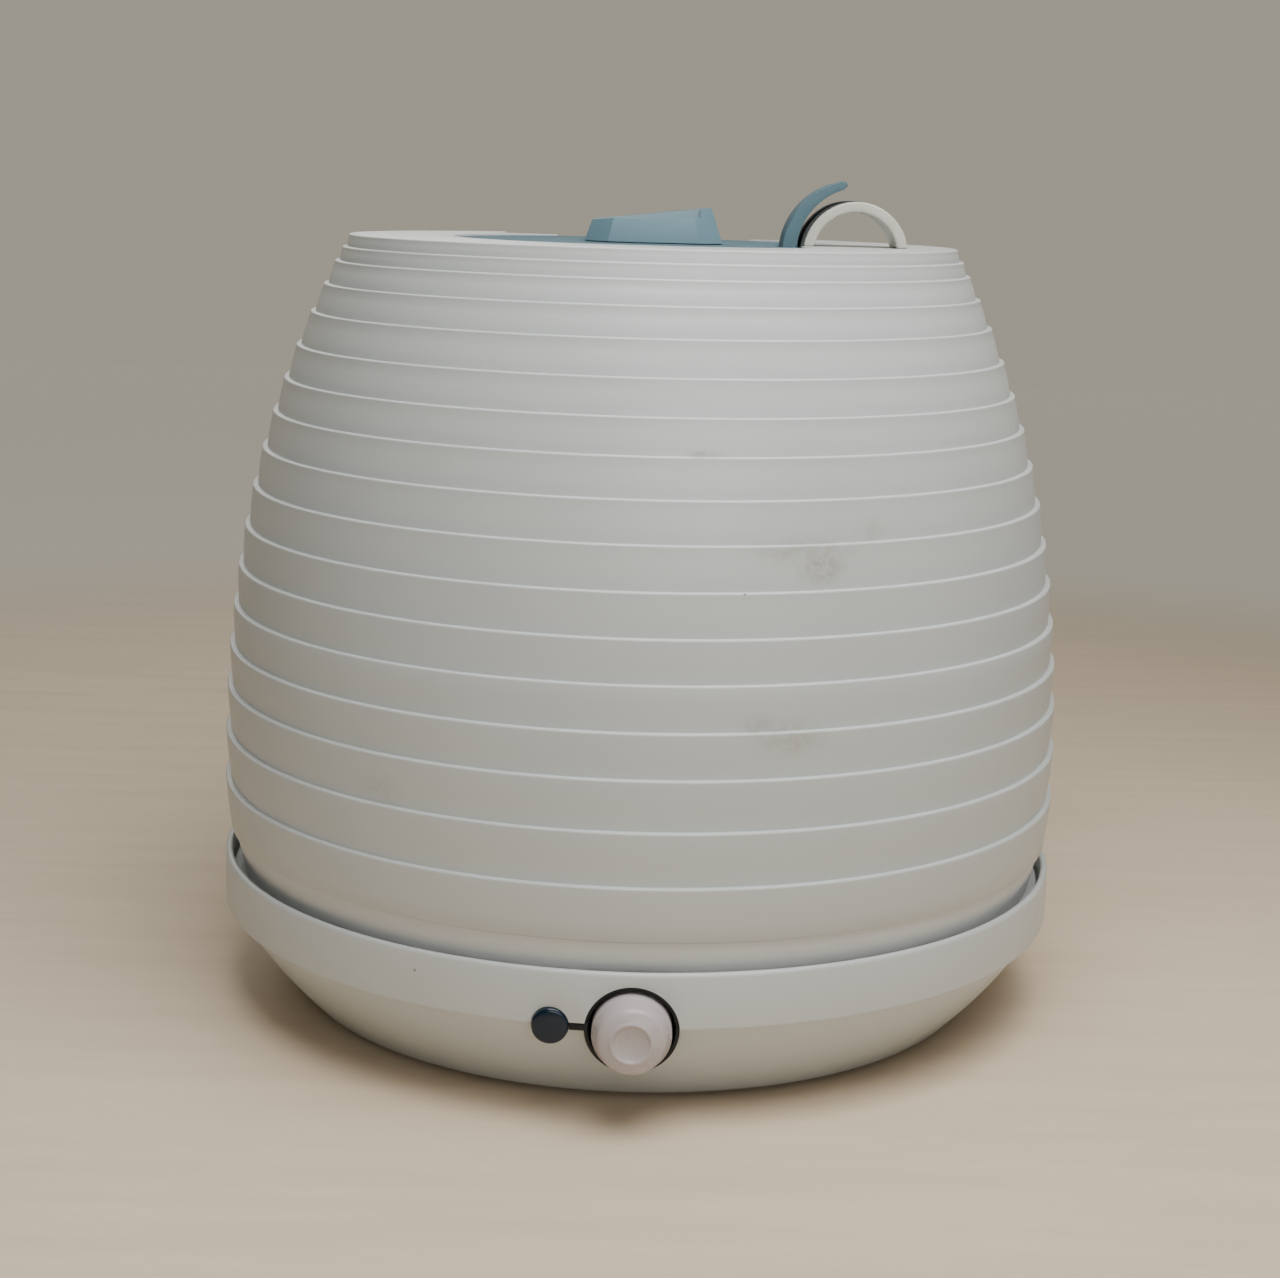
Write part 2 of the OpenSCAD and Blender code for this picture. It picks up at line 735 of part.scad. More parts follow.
module lid_seal() {
    color("#303438") translate([0, 0, lid_z - 3.2]) difference() {
        ring(mouth_r - 0.6, mouth_r - 3, 3.2);
        translate([pin_x - 6, island_y0 - 4, -1]) cube([60, island_y1 - island_y0 + 8, 6]);
    }
}

module lever_pin() {
    len = lever_len + 2 * gap + 6;
    color("silver") translate([pin_x, loop_y + len / 2, pin_z])
        rotate([90, 0, 0]) cylinder(r = pin_r, h = len, $fn = 32);
}

module lever_spring() {
    color("silver") translate([pin_x, loop_y - 3, pin_z]) rotate([-90, 0, 0])
        coil_spring(2.1, 0.3, 5.4, 5);
}

module lever_outline() {
    tip_a = 101;
    tip_m = (lever_r + lever_in_r + 1.1) / 2;
    difference() {
        circle(r = lever_r);
        translate([1.4, 1.05]) circle(r = lever_in_r);
        translate([-40, -70]) square([80, 70]);
        rotate(tip_a - 90) translate([0, -40]) square([60, 80]);
    }
    rotate(tip_a) translate([tip_m, 0]) circle(r = 0.95, $fn = 32);
    translate([-lever_r, pin_z - loop_z]) square([3.95, loop_z - pin_z]);
    translate([pin_x - loop_x, pin_z - loop_z]) circle(r = 2.2, $fn = 32);
}

module release_lever() {
    color(blue) difference() {
        along_y(loop_y, lever_len) translate([loop_x, loop_z]) lever_outline();
        translate([pin_x, 60, pin_z]) rotate([90, 0, 0]) cylinder(r = pin_r + fit, h = 120, $fn = 32);
        translate([pin_x - 5, loop_y - 3.2, pin_z - 4]) cube([10, 6.4, 7]);
    }
}

// ---------- nozzle ----------

// Square with cut corners, w across
module cut_square(w, corner) {
    h = w / 2;
    c = h - corner;
    polygon([[-c, -h], [c, -h], [h, -c], [h, c], [c, h], [-c, h], [-h, c], [-h, -c]]);
}

module nozzle_block(inset) {
    top_w = nozzle_w - 7.2;
    hull() {
        linear_extrude(0.01) cut_square(nozzle_w - 2 * inset, 6.8);
        translate([0, 0, nozzle_high + 0.6 - inset])
            linear_extrude(0.01) cut_square(top_w - 2 * inset, 5.6);
    }
}

module mist_nozzle() {
    slope = atan((nozzle_high - nozzle_low) / (nozzle_w - 6));
    front_slope = 14;
    color(blue) translate([0, 0, nozzle_z]) difference() {
        union() {
            difference() {
                nozzle_block(0);
                translate([0, 0, (nozzle_high + nozzle_low) / 2]) rotate([0, -slope, 0])
                    translate([-40, -40, 0]) cube([80, 80, 20]);
                // slope between the cut corners, which faces the front
                translate([-12.2, -nozzle_w / 2, nozzle_low]) rotate([front_slope, 0, 0])
                    cube([25.4, 22, 20]);
            }
            translate([0, 0, -lid_t - gap - 2]) cylinder(r = socket_r - 0.1, h = lid_t + gap + 2.2);
            translate([0, 0, -lid_t - gap - 2]) ring(socket_r + 1, socket_r - 2, 1.6);
        }
        translate([0, 0, -10]) cylinder(r = socket_r - 2, h = 12.6);
        translate([-9, 0.5, 0]) cube([19, 9, 20]);
    }
}

// ---------- what is drawn ----------

base_housing();
base_plate();
foot_ring();
base_screws();
water_basin();
knob_bezel();
indicator_lens();
indicator_led();
control_board();
potentiometer();
control_knob();
knob_shaft();
transducer();
transducer_seal();
transducer_clamp();
clamp_screws();
driver_board();
board_parts();
heat_sink();
fan_frame();
fan_rotor();
air_duct();
float_ring();
float_clip();
float_switch();
power_jack();
tank_shell();
loop_base();
tank_floor();
tank_seal();
mist_chimney();
finger_loop();
loop_pad();
valve_cap();
valve_gasket();
valve_plunger();
valve_seal();
valve_spring();
lid_disc();
lid_seal();
lever_pin();
lever_spring();
release_lever();
mist_nozzle();
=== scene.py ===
"""Cool mist humidifier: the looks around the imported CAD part. +Z is up, and the front faces -Y.

Shapes are written in millimetres. Materials, the camera, the lights and the floor are in metres.
"""
import math

import bmesh
import bpy
from mathutils import Matrix, Vector


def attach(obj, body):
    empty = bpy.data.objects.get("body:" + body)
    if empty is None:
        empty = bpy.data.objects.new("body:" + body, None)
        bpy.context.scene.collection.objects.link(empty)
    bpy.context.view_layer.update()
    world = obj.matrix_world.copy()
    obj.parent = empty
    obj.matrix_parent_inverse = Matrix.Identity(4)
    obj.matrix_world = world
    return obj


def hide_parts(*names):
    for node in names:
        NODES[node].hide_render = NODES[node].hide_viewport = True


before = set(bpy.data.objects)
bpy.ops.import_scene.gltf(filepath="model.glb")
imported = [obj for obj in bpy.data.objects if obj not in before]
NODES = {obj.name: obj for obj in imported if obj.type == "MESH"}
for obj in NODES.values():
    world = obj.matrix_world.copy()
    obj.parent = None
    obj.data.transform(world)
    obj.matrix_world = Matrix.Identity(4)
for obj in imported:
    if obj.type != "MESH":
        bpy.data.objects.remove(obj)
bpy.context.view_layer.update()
MM = 0.001

# Sizes of the CAD part, in millimetres: _R is a radius, _Z a height, and _T a thickness

# Tank: the radius falls from TANK_R at BULGE_Z by RIM_DROP at the rim
TANK_R = 124.8
RIM_DROP = 36.3
BULGE_POWER = 2.6
RIM_Z = 223.7
TANK_Z = 50.5
BULGE_Z = TANK_Z + 4.5
TANK_WALL = 2.4

# Bands, from the rim down: relative heights, depth of a ledge, and how far a wall bows outwards
BAND_SHARE = [3.5, 4, 6.5, 8, 9.5, 9.5, 9.5, 10.5, 11, 11.5, 11.5, 11.5, 12, 12, 13.5, 14.5, 15]
LEDGE = 1.5
BAND_BOW = 0.12
BAND_LIP = [(LEDGE, 0.0), (0.5, 0.0), (0.3, 0.04), (0.13, 0.14), (0.04, 0.29), (0.0, 0.5)]  # inwards, down
BAND_TOP_GAP, BAND_LOW_GAP = 0.9, 0.3      # where a wall starts under its top, and ends over the next one
BAND_STEPS = 3

# Lid, its seat, and the deck round it
LID_R = 58.0
LID_T = 3.4
LID_TOP = RIM_Z - 0.4
LID_Z = LID_TOP - LID_T
LID_PLAY = 0.5
SEAT_Z = LID_Z - 0.3
SEAT_T = 2.0
SEAT_WALL = 4.0
DECK_T = 2.4
DECK_IN = 6.0           # from the lid's edge to the deck's first ring of points
MOUTH_R = 54.0
MOUTH_DEPTH = 6.0
SOCKET_R = 14.5
GAP = 0.3
RING_IN, RING_OUT, RING_DEPTH = 18.3, 20.3, 8.0     # collar under the lid, for the nozzle

# Island of the deck that carries the loop, and the slope that the deck is cut to behind the lid
ISLAND_X, ISLAND_Y0, ISLAND_Y1 = 42.0, -26.0, 22.0
SCOOP_W, SCOOP_DROP, SCOOP_SLOPE = 96.0, 0.7, 1.3
SCOOP_FRONT, SCOOP_REAR = -8.0, 50.0

# Loop, lever, and the lugs that hold the lever's pin
LOOP_X, LOOP_Y, LOOP_LEN = 57.5, -8.0, 24.0
LEVER_R = 20.8
LEVER_LEN = LOOP_LEN - 4
PIN_X, PIN_Z = LOOP_X - LEVER_R + 2.2, SEAT_Z - 2.5
PIN_HOLE_R = 1.25
LUG_T = 3.2

# Base: a bowl up to SEAM_Z, and a collar that stands out from it by BOWL_STEP
COLLAR_R = 125.0
COLLAR_Z = 43.0
SEAM_Z = 27.5
BOWL_R = 102.0
BOWL_POWER = 1.35
BOWL_STEP = 3.6
BASE_WALL = 2.6
COLLAR_WALL = 2.0
COLLAR_FOOT = [(0.9, 0.0), (0.5, 0.08), (0.2, 0.3), (0.05, 0.65), (0.0, 1.1), (0.0, 8.0)]  # inwards, up
COLLAR_LIP = [(0.0, 2.5), (0.0, 1.2), (0.1, 0.65), (0.35, 0.25), (0.7, 0.05), (1.05, 0.0), (1.5, 0.05),
              (1.8, 0.2), (COLLAR_WALL, 0.5)]                                              # inwards, down
FLANGE_R, FLANGE_LOW, FLANGE_TOP = 113.0, 33.0, 35.5
BOWL_Z = 1.0
BOWL_EDGE, BOWL_EDGE_Z = 0.6, 1.5       # rounding of the bowl's lower edge: inwards, and its height

# Knob, lens and power inlet
KNOB_Z = 27.0
KNOB_R = 10.35
KNOB_LEN = 15.5
KNOB_BACK_Y = -117.5
KNOB_FACE = [(0, 1.05), (1.2, 1.03), (2.2, 0.92), (3.2, 0.72), (4.2, 0.6), (4.55, 0.42), (4.75, 0.14),
             (5.0, 0.02), (5.3, 0.0), (5.6, 0.1), (5.85, 0.35), (6.2, 0.52), (7.0, 0.78), (7.7, 1.1),
             (8.3, 1.5), (8.65, 1.85), (8.9, 2.3), (9.05, 2.8), (9.25, 3.6), (9.6, 4.8), (9.85, 5.8),
             (9.98, 6.4), (KNOB_R - 0.15, 6.7), (KNOB_R, 7.0)]      # radius, behind the front
RECESS_R = 12.35
LENS_X, LENS_Z, LENS_R = -21.0, 28.0, 4.85
LENS_BACK_Y = -112.2
LENS_FACE = [(0, 12.5), (1.6, 12.47), (3.0, 12.35), (3.8, 12.2), (4.3, 12.1), (4.6, 11.95), (4.78, 11.7),
             (LENS_R, 11.3)]                                        # radius, in front of the back
JACK_X, JACK_Z = 36.0, 18.0
JACK_HALF_W, JACK_HALF_H = 5.2, 5.7
CUTTER_FRONT_Y, CUTTER_REAR_Y = -100.0, 132.0       # where cutters start
CUTTER_LEN = 40.0                                   # how far they go to the front

TURN_STEPS = 288
MERGE = 2e-6            # metres


def side_r(z):
    """Radius of the tank at height z, over the lips of the bands."""
    return TANK_R - RIM_DROP * max(0.0, (z - BULGE_Z) / (RIM_Z - BULGE_Z)) ** BULGE_POWER


def band_heights():
    """Heights of the tops of the bands, from the rim down."""
    unit = (RIM_Z - TANK_Z) / sum(BAND_SHARE)
    return [RIM_Z - unit * sum(BAND_SHARE[:i]) for i in range(len(BAND_SHARE))]


def bowl_side(z):
    """Radius of the bowl at height z."""
    top_r = COLLAR_R - BOWL_STEP
    return top_r - (top_r - BOWL_R) * (1 - (z - BOWL_Z) / (SEAM_Z - BOWL_Z)) ** BOWL_POWER


# ---------- mesh helpers ----------

def mesh_object(name, verts, faces, matrix=None):
    """A piece from points in millimetres, which the matrix then moves in metres."""
    mesh = bpy.data.meshes.new(name)
    mesh.from_pydata([Vector(v) * MM for v in verts], [], faces)
    if matrix is not None:
        mesh.transform(matrix)
    bm = bmesh.new()
    bm.from_mesh(mesh)
    bmesh.ops.recalc_face_normals(bm, faces=bm.faces)
    bm.to_mesh(mesh)
    bm.free()
    piece = bpy.data.objects.new(name, mesh)
    bpy.context.scene.collection.objects.link(piece)
    return piece


def lathe(name, outline, steps=TURN_STEPS, matrix=None):
    """Turns a closed outline of (radius, height) points about the Z axis."""
    verts, rows = [], []
    for r, z in outline:
        if r < 1e-6:
            rows.append([len(verts)] * steps)
            verts.append((0, 0, z))
            continue
        rows.append(list(range(len(verts), len(verts) + steps)))
        for k in range(steps):
            a = 2 * math.pi * k / steps
            verts.append((r * math.cos(a), r * math.sin(a), z))
    faces = []
    for i, row in enumerate(rows):
        below = rows[(i + 1) % len(rows)]
        if row[0] == row[1] and below[0] == below[1]:
            continue
        for k in range(steps):
            n = (k + 1) % steps
            quad = [row[k], row[n], below[n], below[k]]
            faces.append(tuple(dict.fromkeys(quad)))
    return mesh_object(name, verts, faces, matrix)


def rounded(points, radii, steps=4, closed=True):
    """A polyline with its corners rounded. radii is one number, or one for each point."""
    n = len(points)
    out = []
    for i, p in enumerate(points):
        r = radii if isinstance(radii, (int, float)) else radii[i]
        if r <= 0 or (not closed and i in (0, n - 1)):
            out.append(tuple(p))
            continue
        p = Vector(p).to_2d()
        a = Vector(points[i - 1]).to_2d() - p
        b = Vector(points[(i + 1) % n]).to_2d() - p
        la, lb = a.length, b.length
        a.normalize()
        b.normalize()
        half = a.angle(b) / 2
        cut = min(r / math.tan(half), la * 0.49, lb * 0.49)
        start, end = p + a * cut, p + b * cut
        for k in range(steps + 1):
            t = k / steps
            q = start * (1 - t) ** 2 + p * 2 * t * (1 - t) + end * t ** 2
            out.append((q.x, q.y))
    return out


def arc(cx, cy, r, a0, a1, steps):
    """Points on a circle from angle a0 to a1, in degrees."""
    return [(cx + r * math.cos(math.radians(a0 + (a1 - a0) * k / steps)),
             cy + r * math.sin(math.radians(a0 + (a1 - a0) * k / steps))) for k in range(steps + 1)]


def inset(points, distance):
    """A closed outline, drawn anticlockwise, moved inwards by a small distance."""
    n = len(points)
    out = []
    for i in range(n):
        p = Vector(points[i])
        a = (p - Vector(points[i - 1])).normalized()
        b = (Vector(points[(i + 1) % n]) - p).normalized()
        normal = Vector((-(a.y + b.y), a.x + b.x))
        if normal.length < 1e-9:
            normal = Vector((-a.y, a.x))
        normal.normalize()
        share = max(0.45, normal.dot(Vector((-a.y, a.x))))
        out.append(tuple(p + normal * distance / share))
    return out


def slab(name, outline, low, high, edge_low, edge_high, steps=4, matrix=None):
    """A plate with a closed anticlockwise outline and rounded upper and lower edges."""
    loops = []
    for k in range(steps + 1):
        t = math.pi / 2 * k / steps
        loops.append((edge_low * (1 - math.sin(t)), low + edge_low * (1 - math.cos(t))))
    for k in range(steps + 1):
        t = math.pi / 2 * k / steps
        loops.append((edge_high * (1 - math.cos(t)), high - edge_high * (1 - math.sin(t))))
    verts, faces = [], []
    n = len(outline)
    for distance, z in loops:
        verts += [(x, y, z) for x, y in inset(outline, distance)]
    for i in range(len(loops) - 1):
        for k in range(n):
            m = (k + 1) % n
            faces.append((i * n + k, i * n + m, (i + 1) * n + m, (i + 1) * n + k))
    faces.append(tuple(range(n - 1, -1, -1)))
    faces.append(tuple(range((len(loops) - 1) * n, len(loops) * n)))
    return mesh_object(name, verts, faces, matrix)


ALONG_Y = Matrix.Rotation(math.pi / 2, 4, "X")     # turns +Z to the front, and keeps X


def facing_front(x, y, z):
    """Moves a shape to a place in millimetres, with its Z axis to the front."""
    return Matrix.Translation(Vector((x, y, z)) * MM) @ ALONG_Y


def apply_modifiers(piece):
    """Makes what the modifiers show the mesh itself."""
    dg = bpy.context.evaluated_depsgraph_get()
    mesh = bpy.data.meshes.new_from_object(piece.evaluated_get(dg))
    piece.modifiers.clear()
    piece.data = mesh


def cut(piece, *cutters):
    """Cuts pieces out of another one, and removes them."""
    for c in cutters:
        m = piece.modifiers.new("cut", "BOOLEAN")
        m.object = c
        m.operation = "DIFFERENCE"
        m.solver = "EXACT"
        bpy.context.view_layer.update()
        apply_modifiers(piece)
        bpy.data.objects.remove(c)


def soften(piece, width, angle=35, segments=3, smooth_angle=40):
    """Rounds the edges of a piece that are sharper than angle, and shades it smooth."""
    bevel_edges(piece.data, width, angle, segments)
    shade(piece, smooth_angle)


def bevel_edges(mesh, width, angle, segments):
    """Merges loose seams and flat faces, then bevels the edges sharper than angle."""
    bm = bmesh.new()
    bm.from_mesh(mesh)
    bmesh.ops.remove_doubles(bm, verts=bm.verts, dist=MERGE)
    bmesh.ops.dissolve_limit(bm, angle_limit=math.radians(0.4), verts=bm.verts, edges=bm.edges)
    limit = math.radians(angle)
    edges = [e for e in bm.edges if len(e.link_faces) == 2 and e.calc_face_angle(0) > limit]
    bmesh.ops.bevel(bm, geom=edges, offset=width * MM, offset_type="OFFSET", segments=segments,
                    profile=0.5, affect="EDGES", clamp_overlap=True)
    bm.to_mesh(mesh)
    bm.free()


def shade(piece, angle=40):
    """Smooth shading, with edges sharper than angle left sharp."""
    mesh = piece.data
    for poly in mesh.polygons:
        poly.use_smooth = True
    mesh.set_sharp_from_angle(angle=math.radians(angle))


def finished_copy(node, width, angle, segments):
    """A copy of a CAD node with its edges rounded, which stands for the node."""
    mesh = NODES[node].data.copy()
    mesh.materials.clear()
    bevel_edges(mesh, width, angle, segments)
    clean = bpy.data.meshes.new(node + "_finish")
    bm = bmesh.new()
    bm.from_mesh(mesh)
    bm.to_mesh(clean)
    bm.free()
    piece = bpy.data.objects.new(clean.name, clean)
    bpy.context.scene.collection.objects.link(piece)
    shade(piece)
    return piece


# ---------- materials ----------

class Nodes:
    """A short way to write a node tree."""

    def __init__(self, name):
        self.material = bpy.data.materials.new(name)
        self.material.use_nodes = True
        self.tree = self.material.node_tree
        self.shader = self.tree.nodes["Principled BSDF"]
        self.place = self.add("ShaderNodeTexCoord").outputs["Object"]

    def add(self, kind, **settings):
        node = self.tree.nodes.new(kind)
        for key, value in settings.items():
            setattr(node, key, value)
        return node

    def link(self, source, target):
        self.tree.links.new(source, target)

    def noise(self, scale, detail=3.0, rough=0.5, stretch=None):
        """Noise over the object's own coordinates, which stretch can scale on each axis."""
        place = self.vector("MULTIPLY", self.place, stretch) if stretch else self.place
        node = self.add("ShaderNodeTexNoise")
        node.inputs["Scale"].default_value = scale
        node.inputs["Detail"].default_value = detail
        node.inputs["Roughness"].default_value = rough
        self.link(place, node.inputs["Vector"])
        return node.outputs["Fac"]

    def vector(self, operation, a, b=None, out="Vector"):
        node = self.add("ShaderNodeVectorMath", operation=operation)
        self.fill(node.inputs[0], a)
        if b is not None:
            self.fill(node.inputs[1], b)
        return node.outputs[out]

    def math(self, operation, a, b=0.0):
        node = self.add("ShaderNodeMath", operation=operation)
        self.fill(node.inputs[0], a)
        self.fill(node.inputs[1], b)
        return node.outputs[0]

    def fill(self, socket, value):
        """Links a socket to another one, or sets its value."""
        if isinstance(value, bpy.types.NodeSocket):
            self.link(value, socket)
        else:
            socket.default_value = value

    def span(self, value, from_lo, from_hi, to_lo, to_hi, smooth=False):
        """Maps one range of values to another, and stops at its ends."""
        node = self.add("ShaderNodeMapRange")
        node.interpolation_type = "SMOOTHSTEP" if smooth else "LINEAR"
        for i, v in enumerate((value, from_lo, from_hi, to_lo, to_hi)):
            self.fill(node.inputs[i], v)
        return node.outputs[0]

    def mix(self, share, a, b):
        """A colour between a and b."""
        node = self.add("ShaderNodeMix", data_type="RGBA")
        self.fill(node.inputs[0], share)
        self.fill(node.inputs[6], a)
        self.fill(node.inputs[7], b)
        return node.outputs[2]

    def bump(self, height, strength, distance, normal=None):
        node = self.add("ShaderNodeBump")
        node.inputs["Strength"].default_value = strength
        node.inputs["Distance"].default_value = distance
        self.link(height, node.inputs["Height"])
        if normal is not None:
            self.link(normal, node.inputs["Normal"])
        return node.outputs["Normal"]


def rgba(colour, gain=1.0):
    """A colour with its alpha, made brighter or darker by gain."""
    return (*[c * gain for c in colour], 1.0)


def moulded(name, colour, rough=0.42, mottle=0.03, grain=900.0, grain_depth=0.00002, coat=0.0,
            rough_swing=0.06, specular=0.5):
    """Moulded plastic or rubber: slow mottling, a fine moulded grain, and uneven gloss."""
    n = Nodes(name)
    slow = n.noise(28.0, 3.0)
    base = n.mix(n.span(slow, 0.3, 0.7, 0.0, 1.0), rgba(colour, 1 - mottle), rgba(colour, 1 + mottle))
    n.link(base, n.shader.inputs["Base Color"])
    wear = n.noise(95.0, 4.0, 0.6)
    n.link(n.span(wear, 0.3, 0.7, rough - rough_swing, rough + rough_swing), n.shader.inputs["Roughness"])
    fine = n.bump(n.noise(grain, 2.0), 0.5, grain_depth)
    n.link(n.bump(n.noise(60.0, 2.0), 0.4, 0.00006, fine), n.shader.inputs["Normal"])
    n.shader.inputs["Specular IOR Level"].default_value = specular
    n.shader.inputs["Coat Weight"].default_value = coat
    n.shader.inputs["Coat Roughness"].default_value = 0.12
    return n


def metal(name, colour, rough=0.28, brushed=(1.0, 1.0, 12.0), scale=160.0):
    """Metal with fine brushing along one direction."""
    n = Nodes(name)
    streak = n.noise(scale, 4.0, 0.6, stretch=brushed)
    n.link(n.mix(n.span(streak, 0.3, 0.7, 0.0, 1.0), rgba(colour, 0.86), rgba(colour, 1.06)),
           n.shader.inputs["Base Color"])
    n.link(n.span(streak, 0.25, 0.75, rough - 0.08, rough + 0.1), n.shader.inputs["Roughness"])
    n.link(n.bump(streak, 0.25, 0.00002), n.shader.inputs["Normal"])
    n.shader.inputs["Metallic"].default_value = 1.0
    return n.material


WHITE = (0.54, 0.566, 0.552)
STAIN = (0.29, 0.262, 0.192)
SPECK = (0.05, 0.045, 0.04)

# Faint smudges on the front of the tank: place and half-size in metres, and strength
SMUDGES = [
    ((0.0447, -0.1087, 0.1461), (0.0070, 0.0200, 0.0052), 0.60),
    ((0.0400, -0.1100, 0.1500), (0.0160, 0.0200, 0.0040), 0.36),
    ((0.0380, -0.1173, 0.1035), (0.0120, 0.0200, 0.0055), 0.34),
    ((0.0300, -0.1195, 0.1065), (0.0060, 0.0200, 0.0040), 0.30),
    ((0.0143, -0.1092, 0.1738), (0.0055, 0.0200, 0.0012), 0.55),
    ((-0.0675, -0.1045, 0.0838), (0.0080, 0.0200, 0.0050), 0.20),
    ((0.0577, -0.1001, 0.1549), (0.0050, 0.0200, 0.0040), 0.22),
]
# Tiny dark specks on the tank and the collar: places and radius in metres
SPECKS = [(0.0252, -0.1160, 0.1402), (0.0158, -0.1058, 0.1836), (-0.0465, -0.0919, 0.1940),
          (-0.0569, -0.1111, 0.0374)]
SPECK_R = 0.00045


def used_white():
    """The white of the outside, with the smudges, specks and dulled areas of a used tank."""
    n = moulded("white_plastic", WHITE, rough=0.34, mottle=0.012, grain=1400.0, grain_depth=0.00001,
                rough_swing=0.05, specular=0.6)
    colour = n.shader.inputs["Base Color"].links[0].from_socket
    patch = n.noise(420.0, 5.0, 0.65)
    blot = n.span(patch, 0.36, 0.62, 0.25, 1.0, smooth=True)
    total = None
    for centre, half, strength in SMUDGES:
        away = n.vector("SUBTRACT", n.place, centre)
        away = n.vector("DIVIDE", away, half)
        length = n.vector("LENGTH", away, out="Value")
        mask = n.span(length, 0.15, 1.25, strength, 0.0, smooth=True)
        mask = n.math("MULTIPLY", mask, blot)
        total = mask if total is None else n.math("MAXIMUM", total, mask)
    colour = n.mix(total, colour, rgba(STAIN))
    dots = None
    for centre in SPECKS:
        length = n.vector("DISTANCE", n.place, centre, out="Value")
        mask = n.span(length, SPECK_R * 0.5, SPECK_R * 1.2, 0.85, 0.0, smooth=True)
        dots = mask if dots is None else n.math("MAXIMUM", dots, mask)
    colour = n.mix(dots, colour, rgba(SPECK))
    n.link(colour, n.shader.inputs["Base Color"])
    return n.material


def led_material():
    """Milky plastic of the indicator LED, which lets some light through."""
    n = moulded("led_plastic", (0.45, 0.65, 0.80), rough=0.12, mottle=0.05, grain=300.0,
                grain_depth=0.000004)
    n.shader.inputs["Transmission Weight"].default_value = 0.5
    return n.material


MAT = {
    "white": used_white(),
    "white_plain": moulded("white_plain", WHITE, rough=0.4, mottle=0.015).material,
    "grey_inner": moulded("inner_plastic", (0.62, 0.63, 0.63), rough=0.45).material,
    "loop_white": moulded("loop_white", (0.48, 0.463, 0.40), rough=0.38, mottle=0.02).material,
    # Neck: a brighter copy of the shell's white, painted light that lifts the shadow cast on it by the
    # tank's lower edge
    "neck_white_painted_light": moulded("neck_white_painted_light", (0.67, 0.685, 0.67), rough=0.4, mottle=0.015).material,
    "blue": moulded("blue_plastic", (0.112, 0.191, 0.227), rough=0.48, mottle=0.05,
                    rough_swing=0.06, specular=0.22).material,
    "blue_satin": moulded("blue_satin", (0.093, 0.152, 0.178), rough=0.7, mottle=0.05,
                          specular=0.05).material,
    "black": moulded("black_plastic", (0.006, 0.009, 0.011), rough=0.34, mottle=0.1,
                     specular=0.3).material,
    "knob": moulded("knob_plastic", (0.45, 0.405, 0.405), rough=0.3, mottle=0.02,
                    specular=0.55).material,
    "rubber": moulded("dark_rubber", (0.022, 0.024, 0.026), rough=0.62, mottle=0.15, grain=1800.0,
                      grain_depth=0.00005).material,
    "seal": moulded("seal_rubber", (0.085, 0.085, 0.09), rough=0.6, mottle=0.1).material,
    "board": moulded("board_green", (0.025, 0.17, 0.08), rough=0.38, mottle=0.08,
                     grain=2600.0).material,
    "parts": moulded("board_parts", (0.03, 0.033, 0.04), rough=0.4, mottle=0.2).material,
    "steel": metal("bright_steel", (0.56, 0.57, 0.58)),
    "brass": metal("brass_disc", (0.70, 0.52, 0.25)),
    "alu": metal("extruded_aluminium", (0.70, 0.71, 0.72), 0.35, (1.0, 14.0, 1.0)),
    "float": moulded("float_plastic", (0.74, 0.74, 0.72), rough=0.55, mottle=0.03).material,
    "lens": moulded("lens_blue", (0.002, 0.011, 0.025), rough=0.2, mottle=0.12, grain=500.0,
                    grain_depth=0.000004, coat=0.2, rough_swing=0.03, specular=0.35).material,
    "led": led_material(),
}


def finish_piece(piece, material, body, slot, *replaced):
    """Gives a piece its material and its body, and hides the CAD nodes it stands for. The slot argument is
    not used.
    """
    piece.data.materials.clear()
    piece.data.materials.append(MAT[material])
    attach(piece, body)
    if replaced:
        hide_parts(*replaced)


# ---------- camera, light, floor: in metres ----------

CAMERA_PLACE = Vector((0.0, -0.66025, 0.23874))
CAMERA_PITCH = math.radians(11.494)
CAMERA_ROLL = math.radians(1.568)
CAMERA_YAW = math.radians(0.067)
CAMERA_LENS = 62.38
SENSOR_WIDTH = 36.0

WALL = (0.375, 0.345, 0.28, 1)      # background behind the object
ROOM = (0.096, 0.096, 0.0925, 1)    # background on the other sides
WALL_FROM, WALL_TO = 0.2, 0.8       # how far to the rear one turns into the other

FLOOR_HALF = 2.2
FLOOR_DARK, FLOOR_PALE = (0.655, 0.53, 0.385), (0.725, 0.595, 0.44)
FLOOR_FINE = (0.61, 0.495, 0.35)
FLOOR_FADE_FROM, FLOOR_FADE_TO = 0.55, 0.85     # where the floor turns into the background
FLOOR_GLOW = 0.93                               # of the background's strength

# Area lights: name, place, target, size, watts and colour
LIGHTS = [
    ("key", (0.10, -0.27, 0.62), (0, -0.1, 0.15), (0.55, 0.42), 5.3, (1.0, 1.0, 1.0)),
    ("ceiling", (0.0, 0.0, 1.8), (0, 0, 0.1), (1.2, 1.2), 2.5, (1.0, 0.985, 0.96)),
    ("sheen", (0.30, -1.25, 0.34), (0, 0, 0.08), (0.8, 0.4), 2.8, (1.0, 1.0, 1.0)),
    ("rear_fill", (-0.5, 1.3, 0.9), (0, 0, 0.1), (0.9, 0.9), 4.0, (1.0, 1.0, 1.0)),
]


def make_camera():
    """The camera at the photograph's place and angle."""
    data = bpy.data.cameras.new("camera")
    data.lens = CAMERA_LENS
    data.sensor_width = SENSOR_WIDTH
    data.clip_start = 0.01
    data.clip_end = 30.0
    camera = bpy.data.objects.new("camera", data)
    bpy.context.scene.collection.objects.link(camera)
    turn = (Matrix.Rotation(CAMERA_YAW, 4, "Z") @ Matrix.Rotation(math.pi / 2 - CAMERA_PITCH, 4, "X")
            @ Matrix.Rotation(CAMERA_ROLL, 4, "Z"))
    camera.matrix_world = Matrix.Translation(CAMERA_PLACE) @ turn
    bpy.context.scene.camera = camera


